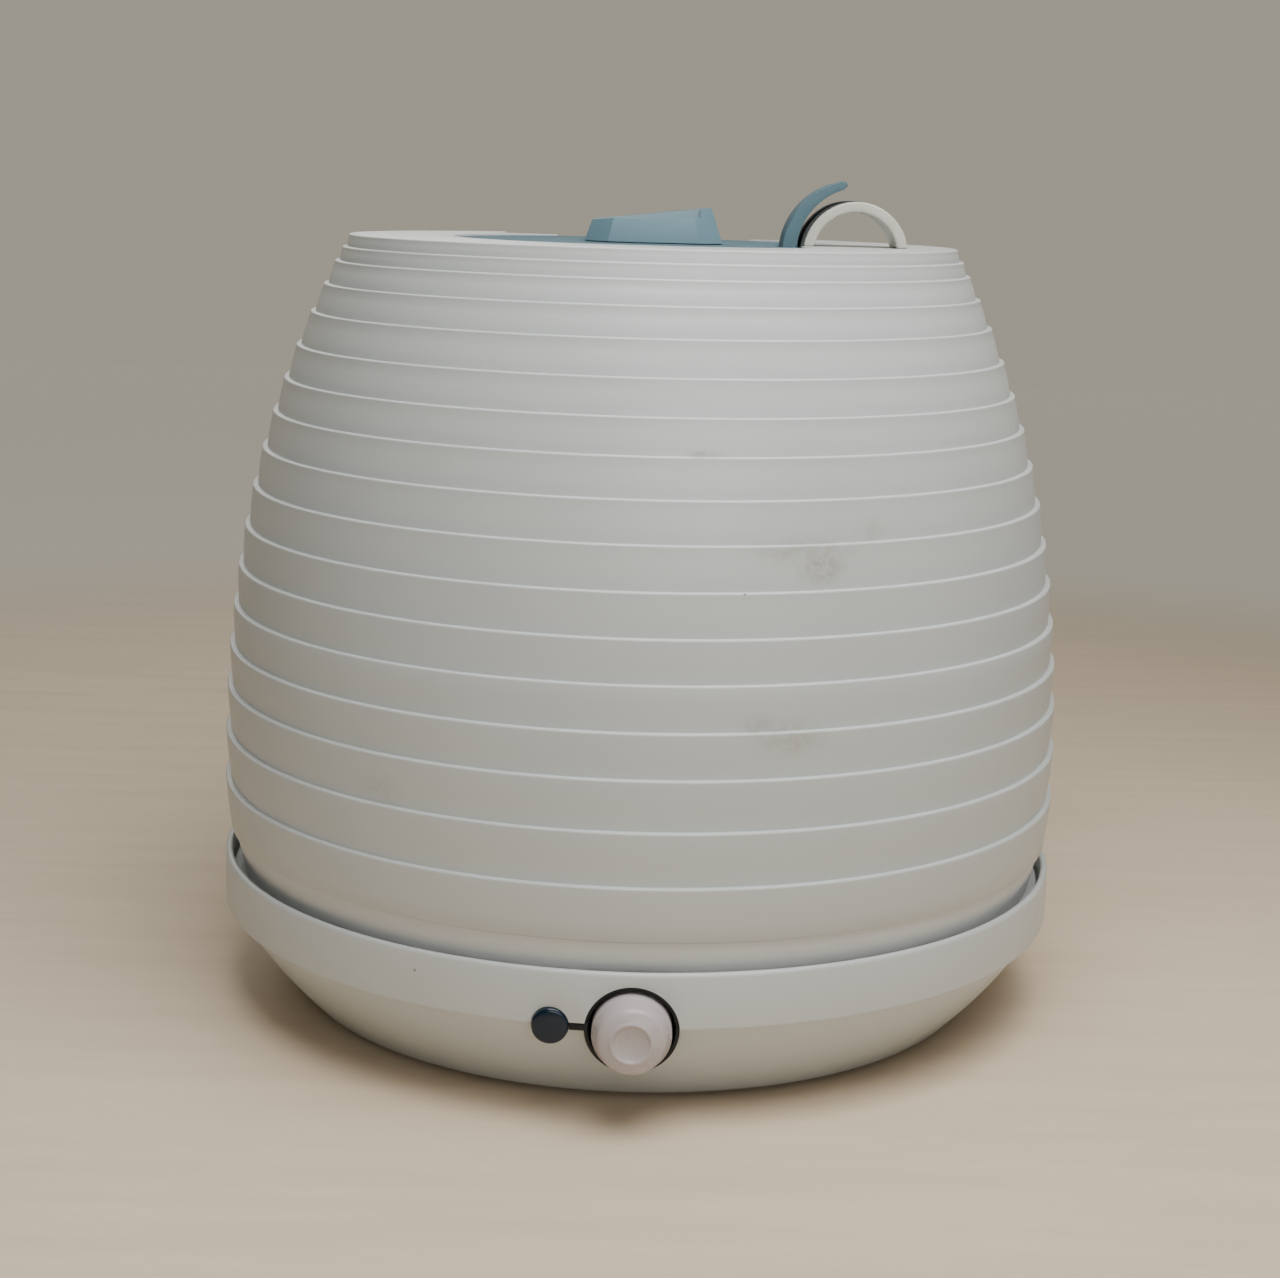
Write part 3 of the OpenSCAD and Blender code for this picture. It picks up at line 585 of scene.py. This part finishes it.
def area_light(name, place, target, size, power, colour):
    """A rectangular light that faces its target."""
    data = bpy.data.lights.new(name, "AREA")
    data.shape = "RECTANGLE"
    data.size, data.size_y = size
    data.energy = power
    data.color = colour
    light = bpy.data.objects.new(name, data)
    bpy.context.scene.collection.objects.link(light)
    turn = (Vector(target) - Vector(place)).to_track_quat("-Z", "Y").to_matrix().to_4x4()
    light.matrix_world = Matrix.Translation(Vector(place)) @ turn


def make_floor():
    """A large pale floor, which takes the background's colour far from the object."""
    n = Nodes("pale_floor")
    grain = n.noise(9.0, 5.0, 0.6, stretch=(1.0, 9.0, 1.0))
    pale = n.mix(n.span(grain, 0.3, 0.7, 0.0, 1.0), rgba(FLOOR_DARK), rgba(FLOOR_PALE))
    fine = n.noise(120.0, 4.0, 0.6, stretch=(1.0, 14.0, 1.0))
    pale = n.mix(n.span(fine, 0.35, 0.65, 0.0, 0.35), pale, rgba(FLOOR_FINE))
    away = n.vector("LENGTH", n.vector("MULTIPLY", n.place, (1.0, 1.0, 0.0)), out="Value")
    far = n.span(away, FLOOR_FADE_FROM, FLOOR_FADE_TO, 0.0, 1.0, smooth=True)
    n.link(n.mix(far, pale, rgba((0.0, 0.0, 0.0))), n.shader.inputs["Base Color"])
    n.link(n.math("MULTIPLY", far, FLOOR_GLOW), n.shader.inputs["Emission Strength"])
    n.shader.inputs["Specular IOR Level"].default_value = 0.15
    ahead = n.math("DIVIDE", n.vector("DOT_PRODUCT", n.place, (0.0, 1.0, 0.0), out="Value"), away)
    beyond = n.mix(n.span(ahead, WALL_FROM, WALL_TO, 0.0, 1.0, smooth=True), ROOM, WALL)
    n.link(beyond, n.shader.inputs["Emission Color"])
    n.link(n.span(fine, 0.3, 0.7, 0.55, 0.65), n.shader.inputs["Roughness"])
    n.link(n.bump(fine, 0.15, 0.00004), n.shader.inputs["Normal"])
    mesh = bpy.data.meshes.new("floor")
    corners = [(x * FLOOR_HALF, y * FLOOR_HALF, 0) for x, y in ((-1, -1), (1, -1), (1, 1), (-1, 1))]
    mesh.from_pydata(corners, [], [(0, 1, 2, 3)])
    floor = bpy.data.objects.new("floor", mesh)
    bpy.context.scene.collection.objects.link(floor)
    floor.data.materials.append(n.material)


def make_world():
    """A background that blends from ROOM to WALL towards the rear."""
    world = bpy.data.worlds.new("world")
    bpy.context.scene.world = world
    world.use_nodes = True
    tree = world.node_tree
    back = tree.nodes["Background"]
    place = tree.nodes.new("ShaderNodeTexCoord")
    axes = tree.nodes.new("ShaderNodeSeparateXYZ")
    share = tree.nodes.new("ShaderNodeMapRange")
    share.interpolation_type = "SMOOTHSTEP"
    blend = tree.nodes.new("ShaderNodeMix")
    blend.data_type = "RGBA"
    blend.inputs[6].default_value = ROOM
    blend.inputs[7].default_value = WALL
    share.inputs[1].default_value = WALL_FROM
    share.inputs[2].default_value = WALL_TO
    tree.links.new(place.outputs["Generated"], axes.inputs[0])
    tree.links.new(axes.outputs[1], share.inputs[0])
    tree.links.new(share.outputs[0], blend.inputs[0])
    tree.links.new(blend.outputs[2], back.inputs["Color"])
    back.inputs["Strength"].default_value = 1.0


make_camera()
make_world()
make_floor()
for light_settings in LIGHTS:
    area_light(*light_settings)


# ---------- tank ----------

def band_outline():
    """The outside of the tank from the rim to the lower edge: ledges with rounded lips."""
    points = []
    zs = band_heights() + [TANK_Z]
    for i in range(len(zs) - 1):
        z, low = zs[i], zs[i + 1]
        r = side_r(z)
        points += [(r - inwards, z - down) for inwards, down in BAND_LIP]
        inner = side_r(low) - LEDGE
        span = z - BAND_TOP_GAP - (low + BAND_LOW_GAP)
        for k in range(BAND_STEPS + 1):
            t = k / BAND_STEPS
            bow = BAND_BOW * 4 * t * (1 - t)
            points.append((r + (inner - r) * t + bow, z - BAND_TOP_GAP - span * t))
    return points


def make_tank():
    """The tank's shell with the lid's recess and mouth, in one piece with the loop's base."""
    side = band_outline()
    deck = [(0, RIM_Z), (LID_R + DECK_IN, RIM_Z)]
    foot_r = side_r(TANK_Z) - LEDGE
    inner_r = foot_r - TANK_WALL
    foot = [(foot_r - 0.15, TANK_Z + 0.1), (foot_r - 0.5, TANK_Z), (inner_r, TANK_Z)]
    inside = [(side_r(z) - LEDGE - TANK_WALL, z) for z in reversed(band_heights()[1:])]
    rim_r, under_z, seat_r = side_r(RIM_Z), RIM_Z - DECK_T, LID_R + SEAT_WALL
    under = [(rim_r - 2.6 - LEDGE, under_z - 2), (rim_r - 5, under_z), (seat_r, under_z),
             (seat_r, SEAT_Z - SEAT_T), (0, SEAT_Z - SEAT_T)]
    tank = lathe("tank_body", deck + side + foot + inside + under)
    recess = notched_disc("recess_cutter", LID_R + LID_PLAY, SEAT_Z, RIM_Z + 5)
    mouth = notched_disc("mouth_cutter", MOUTH_R, SEAT_Z - MOUTH_DEPTH, SEAT_Z + 1)
    half_w = SCOOP_W / 2
    corners = [(-half_w, SCOOP_FRONT), (half_w, SCOOP_FRONT), (half_w, SCOOP_REAR), (-half_w, SCOOP_REAR)]
    scoop = slab("scoop_cutter", rounded(corners, 5.0), 0, 10, 0, 0, steps=1)
    scoop.data.transform(Matrix.Translation(Vector((0, LID_R, RIM_Z - SCOOP_DROP)) * MM)
                         @ Matrix.Rotation(math.radians(-SCOOP_SLOPE), 4, "X"))
    under_loop = lathe("under_loop_cutter", [(0, SEAT_Z - MOUTH_DEPTH), (MOUTH_R, SEAT_Z - MOUTH_DEPTH),
                                             (MOUTH_R, SEAT_Z), (0, SEAT_Z)], 96)
    cut(tank, recess, mouth, under_loop, scoop)
    soften(tank, 0.3, angle=50, segments=3, smooth_angle=38)
    finish_piece(tank, "white", "tank", "white_shell", "tank_shell", "loop_base")


def notched_disc(name, radius, low, high):
    """A disc without the part that the island takes up."""
    a0 = math.degrees(math.asin(ISLAND_Y1 / radius))
    a1 = 360 + math.degrees(math.asin(ISLAND_Y0 / radius))
    outline = arc(0, 0, radius, a0, a1, 200)
    notch = [(ISLAND_X, ISLAND_Y0), (ISLAND_X, ISLAND_Y1)]
    outline += rounded([outline[-1]] + notch + [outline[0]], 2.0, closed=False)[1:-1]
    return slab(name, outline, low, high, 0, 0, steps=1)


make_tank()


# ---------- base ----------

def bowl_points(steps):
    """Points up the bowl's outside, from its foot to the seam."""
    heights = [BOWL_Z + (SEAM_Z - BOWL_Z) * k / steps for k in range(steps + 1)]
    return [(bowl_side(z), z) for z in heights]


def round_cutter(name, radius, x, z, steps):
    """A level cylinder through the base's front wall."""
    return lathe(name, [(0, 0), (radius, 0), (radius, CUTTER_LEN), (0, CUTTER_LEN)], steps,
                 facing_front(x, CUTTER_FRONT_Y, z))


def square_cutter(name, x0, x1, z0, z1, y):
    """A level bar through the base's wall, which starts at y."""
    return slab(name, [(x0, z0), (x1, z0), (x1, z1), (x0, z1)], 0, CUTTER_LEN, 0, 0, steps=1,
                matrix=facing_front(0, y, 0))


def make_base():
    """The bowl and collar, with the openings for the knob, lens, link and power inlet."""
    bowl = bowl_points(20)
    bowl[0] = (bowl[0][0] - BOWL_EDGE, BOWL_Z)
    bowl.insert(1, (bowl_side(BOWL_Z + BOWL_EDGE), BOWL_EDGE_Z))
    collar = [(COLLAR_R - inwards, SEAM_Z + up) for inwards, up in COLLAR_FOOT]
    collar += [(COLLAR_R - inwards, COLLAR_Z - down) for inwards, down in COLLAR_LIP]
    inner_r = COLLAR_R - COLLAR_WALL
    inner = [(inner_r, FLANGE_TOP), (FLANGE_R, FLANGE_TOP), (FLANGE_R, FLANGE_LOW), (inner_r, FLANGE_LOW),
             (inner_r, SEAM_Z + 2)]
    inner += [(r - BASE_WALL, z) for r, z in reversed(bowl_points(12))]
    base = lathe("base_shell", bowl + collar + inner)
    knob_hole = round_cutter("knob_cutter", RECESS_R, 0, KNOB_Z, 96)
    lens_hole = round_cutter("lens_cutter", LENS_R + 0.1, LENS_X, LENS_Z, 64)
    link = square_cutter("link_cutter", LENS_X, 0, LENS_Z - 1, LENS_Z + 1.1, CUTTER_FRONT_Y)
    jack = square_cutter("jack_cutter", JACK_X - JACK_HALF_W, JACK_X + JACK_HALF_W,
                         JACK_Z - JACK_HALF_H, JACK_Z + JACK_HALF_H, CUTTER_REAR_Y)
    cut(base, knob_hole, lens_hole, link, jack)
    soften(base, 0.35, angle=40, segments=3, smooth_angle=38)
    finish_piece(base, "white", "base", "white_shell", "base_housing")


make_base()


# ---------- knob, lens ----------

def make_knob():
    """The knob's cap: a dished front, and a hollow back with the socket of the shaft."""
    front = [(r, KNOB_LEN - behind) for r, behind in KNOB_FACE]
    back = [(KNOB_R, 0.4), (KNOB_R - 0.3, 0), (KNOB_R - 1.4, 0), (KNOB_R - 1.4, KNOB_LEN - 5),
            (4.6, KNOB_LEN - 4.4), (4.6, 0), (3.02, 0), (3.02, KNOB_LEN - 4), (0, KNOB_LEN - 4)]
    knob = lathe("knob_cap", front + back, 160, facing_front(0, KNOB_BACK_Y, KNOB_Z))
    shade(knob, 35)
    finish_piece(knob, "knob", "knob", "knob_white", "control_knob")


def make_lens():
    """The lens, with a softly crowned front."""
    outline = LENS_FACE + [(LENS_R, 0.2), (LENS_R - 0.2, 0), (0, 0)]
    lens = lathe("indicator_window", outline, 96, facing_front(LENS_X, LENS_BACK_Y, LENS_Z))
    shade(lens, 35)
    finish_piece(lens, "lens", "base", "lens_blue", "indicator_lens")


make_knob()
make_lens()


# ---------- lid, nozzle, loop and lever ----------

def make_lid():
    """The lid's plate, with its notch for the island and lever, and the collar and lugs under it."""
    x0, y0, y1 = ISLAND_X - GAP, ISLAND_Y0 - GAP, ISLAND_Y1 + GAP
    slot_x = LOOP_X - LEVER_R - 0.6
    lug_y = LEVER_LEN / 2 + GAP
    a0 = math.degrees(math.asin(y1 / LID_R))
    a1 = 360 + math.degrees(math.asin(y0 / LID_R))
    edge = arc(0, 0, LID_R, a0, a1, 220)
    slot_y0, slot_y1 = LOOP_Y - lug_y, LOOP_Y + lug_y
    corners = [edge[-1], (x0, y0), (x0, slot_y0), (slot_x, slot_y0), (slot_x, slot_y1), (x0, slot_y1),
               (x0, y1), edge[0]]
    notch = rounded(corners, 1.2, closed=False)[1:-1]
    lid = slab("lid_plate", edge + notch, LID_Z, LID_TOP, 0.4, 0.7)
    hole = lathe("socket_cutter", [(0, LID_Z - 2), (SOCKET_R, LID_Z - 2), (SOCKET_R, LID_TOP + 2),
                                   (0, LID_TOP + 2)], 120)
    cut(lid, hole)
    soften(lid, 0.35, angle=60, segments=3)
    ring_z, joined_z = SEAT_Z - RING_DEPTH, LID_Z + 0.2
    collar = lathe("lid_collar", [(RING_IN, joined_z), (RING_OUT, joined_z), (RING_OUT, ring_z + 0.5),
                                  (RING_OUT - 0.5, ring_z), (RING_IN + 0.5, ring_z),
                                  (RING_IN, ring_z + 0.5)], 120)
    shade(collar, 50)
    parts = [collar]
    for side in (-1, 1):
        middle = LOOP_Y + side * (lug_y + LUG_T / 2)
        lug_x0, lug_x1, lug_z = PIN_X - 3.4, PIN_X + 2.3, PIN_Z - 3
        outline = rounded([(lug_x0, lug_z), (lug_x1, lug_z), (lug_x1, joined_z), (lug_x0, joined_z)], 1.0)
        lug = slab("lug", outline, 0, LUG_T, 0.3, 0.3, matrix=facing_front(0, middle + LUG_T / 2, 0))
        pin_hole = lathe("pin_cutter", [(0, -1), (PIN_HOLE_R, -1), (PIN_HOLE_R, 5), (0, 5)], 32,
                         facing_front(PIN_X, middle + 2.5, PIN_Z))
        cut(lug, pin_hole)
        shade(lug, 40)
        parts.append(lug)
    join(lid, parts)
    finish_piece(lid, "blue_satin", "lid", "blue_plastic", "lid_disc")


def join(piece, others):
    """Adds the meshes of other pieces to a piece."""
    bm = bmesh.new()
    bm.from_mesh(piece.data)
    for other in others:
        bm.from_mesh(other.data)
        bpy.data.objects.remove(other)
    bm.to_mesh(piece.data)
    bm.free()


make_lid()

# CAD nodes that get rounded edges: bevel's width, least angle and steps, then material, body and slot
FINISHED = {
    "mist_nozzle": (0.45, 20, 4, "blue", "nozzle", "blue_plastic"),
    "finger_loop": (0.7, 50, 4, "loop_white", "tank", "white_shell"),
    "loop_pad": (0.2, 50, 3, "rubber", "tank", "rubber"),
    "release_lever": (0.45, 50, 3, "blue_satin", "lever", "blue_plastic"),
    "knob_bezel": (0.15, 50, 2, "black", "base", "black_plastic"),
    # the neck takes the brighter white: painted light against the tank's shadow
    "tank_floor": (0.3, 50, 2, "neck_white_painted_light", "tank", "grey_inner"),
    "mist_chimney": (0.4, 50, 2, "white_plain", "tank", "white_shell"),
    "foot_ring": (0.4, 50, 3, "rubber", "base", "rubber"),
}
for node, (width, angle, segments, material, body, slot) in FINISHED.items():
    finish_piece(finished_copy(node, width, angle, segments), material, body, slot, node)


# ---------- the rest of the CAD parts keep their shape ----------

KEPT = {
    "base_plate": "grey_inner", "base_screws": "steel", "water_basin": "grey_inner", "indicator_led": "led",
    "control_board": "board", "potentiometer": "steel", "knob_shaft": "steel", "transducer": "brass",
    "transducer_seal": "rubber", "transducer_clamp": "steel", "clamp_screws": "steel",
    "driver_board": "board", "board_parts": "parts", "heat_sink": "alu", "fan_frame": "black",
    "fan_rotor": "black",
    "air_duct": "grey_inner", "float_ring": "float", "float_clip": "steel", "float_switch": "board",
    "power_jack": "black", "tank_seal": "seal", "valve_cap": "blue", "valve_gasket": "seal",
    "valve_plunger": "float", "valve_seal": "seal", "valve_spring": "steel", "lid_seal": "seal",
    "lever_pin": "steel", "lever_spring": "steel",
}
COILS = ("valve_spring", "lever_spring")       # round wire has no edges to bevel
EDGE_WIDTH, EDGE_ANGLE = 0.2, 45
for node, material in KEPT.items():
    part = NODES[node]
    part.data.materials.clear()
    part.data.materials.append(MAT[material])
    if node not in COILS:
        weld = part.modifiers.new("weld", "WELD")
        weld.merge_threshold = MERGE
        bevel = part.modifiers.new("edges", "BEVEL")
        bevel.width = EDGE_WIDTH * MM
        bevel.segments = 2
        bevel.limit_method = "ANGLE"
        bevel.angle_limit = math.radians(EDGE_ANGLE)
        bevel.use_clamp_overlap = True
        part.modifiers.new("normals", "WEIGHTED_NORMAL").keep_sharp = True
